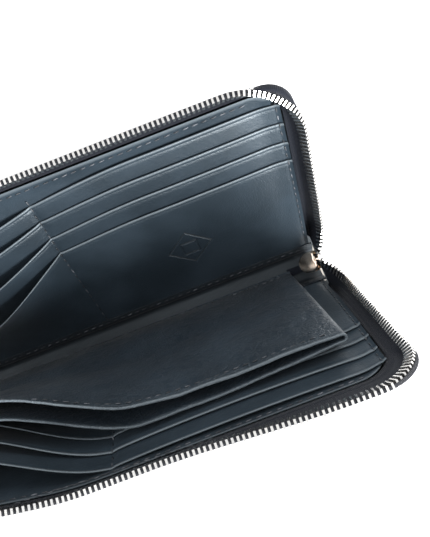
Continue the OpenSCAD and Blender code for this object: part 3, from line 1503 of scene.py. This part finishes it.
@dataclass
class SpineInside:
    """The lining over the spine, which laps onto the feet of both leaves' pockets."""

    spaces: Sequence[PanelSpace]
    lap: float = 7.0
    thickness: float = 0.5
    floor: float = 2.75

    def half(self, space: PanelSpace) -> bpy.types.Object:
        """One half of the lining, from the middle of the spine up to its lap.

        Args:
            space: the panel's space.

        Returns:
            The finished piece.
        """
        flip = space.side.value
        up = [space.at(0, 5.35, 2.4), space.at(0, 6.25, 3.5), space.at(0, 6.2, self.lap - 0.6)]
        knots = [Vector((0, 0, self.floor)), Vector((0, 3.0, self.floor))]
        knots.append(Vector((0, 5.4, self.floor + 0.25)))
        up.append(space.at(0, 6.05, self.lap))
        knots += [Vector((0, p.y / MM * flip, p.z / MM)) for p in up]
        line = self._soften(knots)
        normals = []
        for i in range(len(line)):
            run = line[min(i + 1, len(line) - 1)] - line[max(i - 1, 0)]
            normals.append(Vector((0, -run.z, run.y)).normalized())
        profile = [(float(i), 0.0) for i in range(len(line))]
        profile += [(float(i), self.thickness) for i in range(len(line) - 1, -1, -1)]
        edge = space.half_l - 2.0
        stations = spaced(-edge, edge, 3.0)

        def shape(x: float, code: float, depth: float) -> Vector:
            """Places a profile point, with soft ribs that fade away from the fold.

            Args:
                x: place along the spine.
                code: number in the course.
                depth: depth below the face.

            Returns:
                The point, in metres.
            """
            i = int(code)
            p, n = line[i], normals[i]
            ruck = 0.16 * noise.noise(Vector((x / 9, i * 0.8, flip * 5.0)))
            spot = p + n * (ruck - depth)
            return Vector((x, spot.y * flip, spot.z)) * MM

        # The spine lining wears the darker copy of the lining, which is painted shade.
        piece = finish_piece(
            loft(stations, profile, shape), f"{space.side.word}_spine_lining", SHADED_SPINE_LINING, 70
        )
        end = space.at(0, 6.0, 4.0)
        self.floor * MM
        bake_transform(piece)
        if space.side is Side.FRONT:
            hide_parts("spine_lining")
        LOG.info("%s", piece.name)
        return piece

    def _soften(self, knots: Sequence[Vector]) -> list[Vector]:
        """Rounds the corners of a course by cutting them twice.

        Args:
            knots: the course with its corners.

        Returns:
            The rounded course.
        """
        line = list(knots)
        for _ in range(2):
            cut = [line[0]]
            for a, b in zip(line, line[1:]):
                cut += [a.lerp(b, 0.25), a.lerp(b, 0.75)]
            line = cut + [line[-1]]
        return line

    def stitches(self, space: PanelSpace) -> bpy.types.Object:
        """The row that holds the lining's lap to the pockets' feet.

        Args:
            space: the panel's space.

        Returns:
            The finished piece.
        """
        sew = Stitcher(2.2, 0.55, 3.4)
        run = spaced(-space.half_l + 6, space.half_l - 6, 3.0)
        line = [space.at(x, 6.25, self.lap - 1.6) for x in run]
        sew.row(line, [space.inward] * len(line))
        piece = sew.done(f"{space.side.word}_seam_stitches")
        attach(piece, f"{space.side.word}_panel")
        LOG.info("%s", piece.name)
        return piece


# ---------------------------------------------------------------- the pouch


@dataclass
class Pouch:
    """The soft middle pouch: one sheet folded round at both ends and sewn along its foot."""

    axis_z: float
    lean: float
    half_l: float = 84.0
    height: float = 71.5
    thickness: float = 0.8
    gap_foot: float = 0.5
    gap_mouth: float = 1.6
    twist: float = 22.0

    def centre(self, x: float, w: float) -> float:
        """How far the pouch's middle stands off its own flat plane, towards the front.

        Args:
            x: place along the spine.
            w: height up the pouch.

        Returns:
            The distance.
        """
        # The left end turns to the front, and the right end leans back on the pockets.
        rise = max(0.0, w / self.height)
        turn = self.twist * smooth((14 - x) / 62) * rise**1.35
        sag = -2.2 * rise**2 * smooth((x + 20) / 50)
        sag += -2.6 * rise**2 * hill((x + 15) / 90) + 3.0 * hill(w / 34) * smooth((72 - x) / 60)
        wave = 0.9 * rise * math.sin(x / 26 + 0.6)
        return turn + sag + wave

    def gap(self, x: float, w: float) -> float:
        """Half of the room between the two walls.

        Args:
            x: place along the spine.
            w: height up the pouch.

        Returns:
            Half of the room.
        """
        rise = max(0.0, w / self.height)
        swell = 1.5 * hill((self.half_l - x) / 110, 0.8) * hill(rise * 0.62, 1.4)
        mouth = 2.4 * smooth((40 - x) / 60) * rise**4
        return self.gap_foot + (self.gap_mouth - self.gap_foot) * rise + swell + mouth

    def at(self, x: float, n: float, w: float) -> Vector:
        """A pouch point, in metres: n towards the front, w up its height."""
        s, c = math.sin(self.lean), math.cos(self.lean)
        return Vector((x, -w * s + n * c, self.axis_z + w * c + n * s)) * MM

    def _course(self, w: float) -> list[tuple[float, float, float, float]]:
        """The sheet's course at a height: x, n and outward direction, from wall to wall.

        Args:
            w: height up the pouch.

        Returns:
            The course, point by point.
        """
        right = self.half_l - 2.6 + 4.4 * w / self.height
        left = -self.half_l
        xs = spaced(left, right - 2.0, 2.8)
        found = [(x, 1.0, 0.0, 1.0) for x in xs]
        for i in range(1, 10):
            a = math.pi * i / 10
            found.append((right - 2.0 + 2.0 * math.sin(a), math.cos(a), math.sin(a), math.cos(a)))
        found += [(x, -1.0, 0.0, -1.0) for x in reversed(xs)]
        for i in range(1, 10):
            a = math.pi * i / 10
            found.append((left - 1.6 * math.sin(a), -math.cos(a), -math.sin(a), -math.cos(a)))
        return found

    def sheet(self) -> bpy.types.Object:
        """The folded sheet, as a closed skin of its own thickness.

        Returns:
            The finished piece.
        """
        h, t = self.height, self.thickness
        rises = [h * i / 26 for i in range(25)] + [h - 3.0, h - 2.2]
        outer = [(w, 0.0) for w in rises]
        outer += [(h - 1.9, -0.15), (h - 1.6, -0.22), (h - 1.3, -0.05), (h - 0.7, 0.16)]
        lip = [(h - 0.25, 0.08), (h, -0.2), (h, -t + 0.1), (h - 0.4, -t - 0.08)]
        inner = [(h - 1.6, -t)] + [(w, -t) for w in reversed(rises)]
        profile = outer + lip + inner
        course = self._course(0.0)
        count = len(course)
        # Painted highlight along the rolled lip of the mouth.
        worn = [0.0] * (len(rises) + 3) + [0.3, 0.9, 1.0, 0.9, 0.3] + [0.0] * (len(inner))
        bm = bmesh.new()
        wear_and_edge_highlight = bm.verts.layers.float.new("worn")
        bmesh.ops.create_grid(bm, x_segments=count, y_segments=len(profile), size=0.5)
        for vert in bm.verts:
            i = round((vert.co.x + 0.5) * count) % count
            j = round((vert.co.y + 0.5) * len(profile)) % len(profile)
            w, depth = profile[j]
            vert[wear_and_edge_highlight] = worn[j]
            x, side, ox, on = self._course(w)[i]
            crumple = 0.55 * noise.noise(Vector((x / 15 + 7, w / 8 + x / 30, side * 2)))
            crumple += 0.22 * noise.noise(Vector((x / 6, w / 3.5 + x / 9, side * 4)))
            rise = smooth(w / 16)
            n = self.centre(x, w) + side * self.gap(x, w) + on * (depth + crumple * rise)
            vert.co = self.at(x + ox * depth, n, w)
        bmesh.ops.remove_doubles(bm, verts=bm.verts, dist=1e-7)
        bmesh.ops.recalc_face_normals(bm, faces=bm.faces)
        piece = finish_piece(bm, "pouch_leather", POUCH, 70)
        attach(piece, "pouch")
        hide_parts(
            "pouch_front_wall", "pouch_back_wall", "pouch_right_fold", "pouch_left_fold"
        )
        tuple(self.at(0, 0, 0))
        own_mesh(piece)
        flat = (4.04 * self.half_l * MM, h * MM)
        LOG.info("%s", piece.name)
        return piece

    def welt(self) -> bpy.types.Object:
        """The rolled foot of the pouch.

        Returns:
            The finished piece.
        """
        ring = [math.tau * i / 12 for i in range(12)]
        profile = [(0.85 * math.cos(a), 0.7 * math.sin(a)) for a in ring]
        stations = spaced(-self.half_l, self.half_l - 2.4, 3.0)
        bm = loft(stations, profile, lambda x, n, w: self.at(x, n, w + 0.15))
        piece = finish_piece(bm, "pouch_welt", POUCH, 60)
        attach(piece, "pouch")
        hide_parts("pouch_seam")
        LOG.info("%s", piece.name)
        return piece

    def stitches(self) -> bpy.types.Object:
        """The rows along the pouch's foot and behind its two mouth edges.

        Returns:
            The finished piece.
        """
        sew = Stitcher(2.2, 0.5, 3.4)
        across = Vector((0, math.cos(self.lean), math.sin(self.lean)))
        for w, side in ((2.8, 1), (self.height - 2.9, 1), (self.height - 2.9, -1)):
            run = spaced(-self.half_l + 2, self.half_l - 5, 2.0)
            out = [self.centre(x, w) + side * (self.gap(x, w) + 0.15) for x in run]
            line = [self.at(x, n, w) for x, n in zip(run, out)]
            sew.row(line, [across * side] * len(line))
        piece = sew.done("pouch_stitches")
        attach(piece, "pouch")
        tuple(self.at(0, 0, 0))
        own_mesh(piece)
        LOG.info("%s", piece.name)
        return piece


# ---------------------------------------------------------------- the slider


@dataclass
class Slider:
    """The zip's slider with its bridge, and the tail of the joined tapes."""

    centre: Vector
    lean: float
    width: float = 8.8
    length: float = 9.8
    channel: float = 2.2
    plate_t: float = 1.0
    bridge_h: float = 2.4

    @property
    def matrix(self) -> Matrix:
        """The slider's own frame, in millimetres: X out of its outer plate, Z along its run."""
        turn = Matrix.Rotation(self.lean, 4, "Y")
        return Matrix.Scale(MM, 4) @ Matrix.Translation(self.centre) @ turn

    def _outline(self, angle: float) -> tuple[float, float]:
        """The plate's outline: a tail that widens into two round shoulders with a dip between.

        Args:
            angle: direction from the middle.

        Returns:
            The point across and along the plate.
        """
        y, z = math.cos(angle), math.sin(angle)
        half_w, half_l = self.width / 2, self.length / 2
        squareness = 0.62
        px = half_w * math.copysign(abs(y) ** squareness, y)
        pz = half_l * math.copysign(abs(z) ** squareness, z)
        taper = 0.70 + 0.30 * smooth((pz + half_l) / (1.15 * half_l))
        dip = 0.9 * math.exp(-((px / 1.5) ** 2)) * smooth(pz / half_l)
        return px * taper, pz - dip

    def plate(self, bm: bmesh.types.BMesh, inner: bool) -> None:
        """Adds one plate with its turned flanges.

        Args:
            bm: the mesh that gets the plate.
            inner: whether it is the plate on the inside.
        """
        made = bmesh.ops.create_circle(bm, cap_ends=True, segments=44, radius=1.0)["verts"]
        near = self.channel / 2 * (-1 if inner else 1)
        for vert in made:
            y, z = self._outline(math.atan2(vert.co.y, vert.co.x))
            vert.co = Vector((near, y, z))
        face = next(f for f in bm.faces if all(v in made for v in f.verts))
        out = bmesh.ops.extrude_face_region(bm, geom=[face])["geom"]
        top = [g for g in out if isinstance(g, bmesh.types.BMVert)]
        away = self.plate_t * (-1 if inner else 1)
        bmesh.ops.translate(bm, verts=top, vec=(away, 0, 0))
        rim = [e for e in bm.edges if all(v in top for v in e.verts)]
        bmesh.ops.bevel(
            bm, geom=rim, offset=0.42, segments=3, profile=0.5, affect="EDGES", material=-1
        )

    def body(self) -> bpy.types.Object:
        """Two plates, the nose's divider and the flanges, as one piece.

        Returns:
            The finished piece.
        """
        bm = bmesh.new()
        for inner in (True, False):
            self.plate(bm, inner)
        self._block(bm, (0, 0, self.length / 2 - 2.0), (self.channel, 0.7, 2.4), 0.12)
        for side in (-1, 1):
            for level in (-1, 1):
                place = (level * 0.82, side * (self.width * 0.345), -0.7)
                self._block(bm, place, (0.62, 0.7, self.length * 0.62), 0.15)
        bmesh.ops.transform(bm, matrix=self.matrix, verts=bm.verts)
        bmesh.ops.recalc_face_normals(bm, faces=bm.faces)
        piece = finish_piece(bm, "slider_shell", CHAMPAGNE, 35)
        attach(piece, "slider")
        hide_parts("slider_body")
        LOG.info("%s", piece.name)
        return piece

    def _block(
        self, bm: bmesh.types.BMesh, place: Sequence[float], size: Sequence[float], round_: float
    ) -> None:
        """Adds a small block with rounded edges.

        Args:
            bm: the mesh that gets the block.
            place: the block's middle.
            size: its three sizes.
            round_: the radius of its edges.
        """
        made = bmesh.ops.create_cube(bm, size=1.0)["verts"]
        bmesh.ops.scale(bm, verts=made, vec=size)
        bmesh.ops.translate(bm, verts=made, vec=place)
        edges = [e for e in bm.edges if all(v in made for v in e.verts)]
        bmesh.ops.bevel(
            bm, geom=edges, offset=round_, segments=2, profile=0.5, affect="EDGES", material=-1
        )

    def bridge(self) -> bpy.types.Object:
        """The arch that holds the pull, on the outer plate.

        Returns:
            The finished piece.
        """
        face = self.channel / 2 + self.plate_t
        span, rise, steps = 2.45, self.bridge_h - 0.35, 14
        turns = [math.tau * i / 10 for i in range(10)]
        ring = [(0.9 * math.cos(a), 0.35 * math.sin(a)) for a in turns]

        def shape(step: float, wide: float, thick: float) -> Vector:
            """Places a point of the arch's section.

            Args:
                step: step along the arch.
                wide: offset across it.
                thick: offset out of it.

            Returns:
                The point, in metres.
            """
            a = math.pi * step / steps
            flat = abs(math.cos(a)) ** 0.55
            z = span * math.copysign(flat, math.cos(a))
            x = face - 0.25 + (rise + 0.25) * math.sin(a) ** 0.55
            out = Vector((math.sin(a), 0, math.cos(a))).normalized()
            return self.matrix @ (Vector((x, wide, z)) + out * thick)

        bm = loft([float(i) for i in range(steps + 1)], ring, shape)
        piece = finish_piece(bm, "slider_arch", CHAMPAGNE, 60)
        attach(piece, "slider")
        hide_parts("slider_bridge")
        LOG.info("%s", piece.name)
        return piece

    def tail(self) -> bpy.types.Object:
        """The joined ends of the tapes, which rise from the spine into the slider.

        Returns:
            The finished piece.
        """
        end = self.matrix @ Vector((0, 0, -self.length / 2 + 1.2)) / MM
        knots = [
            (end.x - 7.5, 0, 2.62),
            (end.x - 2.8, 0, 2.75),
            (end.x - 0.6, 0, 3.6),
            (end.x, 0, end.z),
        ]
        line = [curve(knots, i / 12) for i in range(13)]
        profile = [(-1.8, 0.0), (-0.9, 0.0), (0.0, 0.0), (0.9, 0.0), (1.8, 0.0)]
        profile += [(y, 0.4) for y, _ in reversed(profile)]
        marks = [float(i) for i in range(13)]

        def shape(mark: float, y: float, depth: float) -> Vector:
            """Places a point of the tape's section.

            Args:
                mark: step along the tape.
                y: offset across it.
                depth: offset out of it.

            Returns:
                The point, in metres.
            """
            i = int(mark)
            run = line[min(i + 1, 12)] - line[max(i - 1, 0)]
            n = Vector((-run.z, 0, run.x)).normalized()
            narrow = 1.0 - 0.25 * i / 12
            return (line[i] + Vector((0, y * narrow, 0)) + n * depth) * MM

        piece = finish_piece(loft(marks, profile, shape), "zip_tail", TAPE, 60)
        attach(piece, "spine")
        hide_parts("zip_tail_tape")
        LOG.info("%s", piece.name)
        return piece


# ---------------------------------------------------------------- stage


@dataclass(frozen=True)
class Studio:
    """Floor, soft lights and the camera."""

    azimuth: float = 7.2
    elevation: float = 79.36
    roll: float = -28.0
    eye: Point = (57.8, -35.9, 269.8)
    lens: float = 41.0

    def camera(self) -> None:
        """Puts the camera above the open wallet, looking down into it."""
        data = bpy.data.cameras.new("camera")
        data.lens = self.lens
        data.clip_start = 0.01
        cam = bpy.data.objects.new("camera", data)
        bpy.context.scene.collection.objects.link(cam)
        a, e = math.radians(self.azimuth), math.radians(self.elevation)
        back = Vector((math.sin(a) * math.cos(e), -math.cos(a) * math.cos(e), math.sin(e)))
        turned = (-back).to_track_quat("-Z", "Y") @ Quaternion((0, 0, 1), math.radians(self.roll))
        cam.rotation_mode = "QUATERNION"
        cam.rotation_quaternion = turned
        cam.location = Vector(self.eye) * MM
        bpy.context.scene.camera = cam

    def floor(self) -> None:
        """A wide pale floor under the wallet."""
        bm = bmesh.new()
        bmesh.ops.create_grid(bm, x_segments=1, y_segments=1, size=3.0)
        mesh = bpy.data.meshes.new("floor")
        bm.to_mesh(mesh)
        bm.free()
        floor = bpy.data.objects.new("floor", mesh)
        floor.location.z = -0.0003
        bpy.context.scene.collection.objects.link(floor)
        s = Shade("pale_floor")
        mesh.materials.append(s.set(Base_Color=(0.93, 0.93, 0.93), Roughness=0.9))

    def light(self, place: Point, size: float, power: float, tint: Point = (1, 1, 1)) -> None:
        """Adds one soft area light, aimed at the wallet.

        Args:
            place: where it hangs, in metres.
            size: its side, in metres.
            power: its power, in watts.
            tint: its colour.
        """
        data = bpy.data.lights.new("soft_light", "AREA")
        data.shape = "SQUARE"
        data.size = size
        data.energy = power
        data.color = tint
        lamp = bpy.data.objects.new("soft_light", data)
        lamp.location = place
        aim = Vector((0.02, 0.0, 0.04)) - Vector(place)
        lamp.rotation_mode = "QUATERNION"
        lamp.rotation_quaternion = aim.to_track_quat("-Z", "Y")
        bpy.context.scene.collection.objects.link(lamp)

    def build(self) -> None:
        """Sets up the whole studio."""
        self.floor()
        # A warm one behind the front leaf, a cool one on the left, and the key from the front.
        self.light((0.55, 0.75, 0.75), 0.55, 5.0, (1.0, 0.99, 0.97))
        self.light((-0.75, 0.1, 0.9), 0.8, 4.0, (0.97, 0.985, 1.0))
        self.light((0.35, -0.72, 0.36), 0.5, 24.0)
        world = bpy.data.worlds.new("studio")
        world.use_nodes = True
        world.node_tree.nodes["Background"].inputs[0].default_value = (0.97, 0.98, 1.0, 1.0)
        world.node_tree.nodes["Background"].inputs[1].default_value = 0.95
        scene = bpy.context.scene
        scene.world = world
        scene.view_settings.view_transform = "Standard"
        self.camera()


# ---------------------------------------------------------------- assembly


def joint(frame: dict, name: str) -> dict:
    """The frame's joint of this name."""
    return next(j for j in frame["joints"] if j["name"] == name)


def dress_frame(frame: dict) -> None:
    """Gives the CAD nodes that stay in view their materials.

    Args:
        frame: the loaded frame.
    """
    wear = {
        "board": BOARD,
        "foil": FOIL,
        "lining": LINING,
        "tape": TAPE,
        "stop": NICKEL,
        "pull": CHAMPAGNE,
        "slider": CHAMPAGNE,
    }
    for name, node in frame["nodes"].items():
        finish = next((f for word, f in wear.items() if word in name), COVER)
        node.data.materials.clear()
        node.data.materials.append(WARDROBE.get(finish))


@dataclass(frozen=True)
class LeafSizes:
    """What differs between the two leaves.

    The cover ends "slack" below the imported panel's edge, and "row" holds the flare of the teeth.
    """

    slack: float
    curl: float
    warp: float
    pockets: tuple[Pocket, ...]
    row: dict[str, float]


LEAVES = {
    Side.FRONT: LeafSizes(
        slack=4.4,
        curl=3.4,
        warp=0.0,
        pockets=(Pocket(5, 0.8, 10), Pocket(8, 1, 9), Pocket(13, 1.1, 10), Pocket(18.5, 1.3, 9)),
        row={"row_x": 99.0, "row_top": 94.2, "row_r": 25.0, "row_depth": 8.75},
    ),
    Side.BACK: LeafSizes(
        slack=6.0,
        curl=3.8,
        warp=8.0,
        pockets=(Pocket(13.0, 1.2), Pocket(14.5, 1.5), Pocket(15.0, 1.6), Pocket(15.0, 1.7)),
        row={"row_x": 100.0, "row_top": 94.6, "row_r": 17.0, "row_depth": 8.3, "skew": 4.6},
    ),
}


def make_space(frame: dict, side: Side) -> PanelSpace:
    """Reads a panel's place from the frame.

    Args:
        frame: the loaded frame.
        side: which panel.

    Returns:
        The panel's space.
    """
    fold = joint(frame, f"{side.word}_fold")
    lean = math.radians(fold["range_deg"][1])
    _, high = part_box(f"{side.word}_cover")
    height = (high[2] / MM - Cover.thickness * math.sin(lean)) / math.cos(lean)
    fold_y, half = abs(fold["pos_m"][1]) / MM, high[0] / MM
    own = LEAVES[side]
    return PanelSpace(
        side, fold_y, lean, half, height - own.slack, curl=own.curl, warp=own.warp
    )


def main() -> None:
    """Builds the wallet round the frame."""
    logging.basicConfig(level=logging.INFO, format="%(message)s")
    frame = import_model()
    dress_frame(frame)
    front, back = (make_space(frame, side) for side in (Side.FRONT, Side.BACK))
    leaves = [Panel(space, LEAVES[space.side].pockets) for space in (front, back)]
    run = Vector(joint(frame, "slider_travel")["axis"])
    low, high = (Vector(c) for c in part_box("slider_body"))
    slider = Slider((low + high) / 2 / MM, math.atan2(run.x, run.z))
    nose = slider.matrix @ Vector((0, 0, slider.length / 2)) / MM
    row_gap = 1.5
    for leaf in leaves:
        leaf.stiffener("board", BOARD, 1.32, 0.6)
        leaf.stiffener("shield_foil", FOIL, 1.98, 0.12)
        leaf.lining()
        for layer in range(1, len(leaf.pockets) + 1):
            leaf.card_layer(layer)
        leaf.stitches()
        space = leaf.space
        s, c = math.sin(space.lean), math.cos(space.lean)
        y = row_gap - space.fold_y
        tip = Vector((nose.x, -y * c + nose.z * s, y * s + nose.z * c))
        row = ZipRow(leaf, tip, **LEAVES[space.side].row)
        row.tape()
        row.teeth()
        cover = Cover(space)
        cover.build()
        cover.stitches()
    inside = SpineInside((front, back))
    for space in inside.spaces:
        inside.half(space)
        inside.stitches(space)
    swing = joint(frame, "pouch_swing")
    pouch = Pouch(swing["pos_m"][2] / MM, math.radians(swing["range_deg"][1]))
    pouch.sheet()
    pouch.welt()
    pouch.stitches()
    slider.body()
    slider.bridge()
    slider.tail()
    Studio().build()


if __name__ == "__main__":
    main()
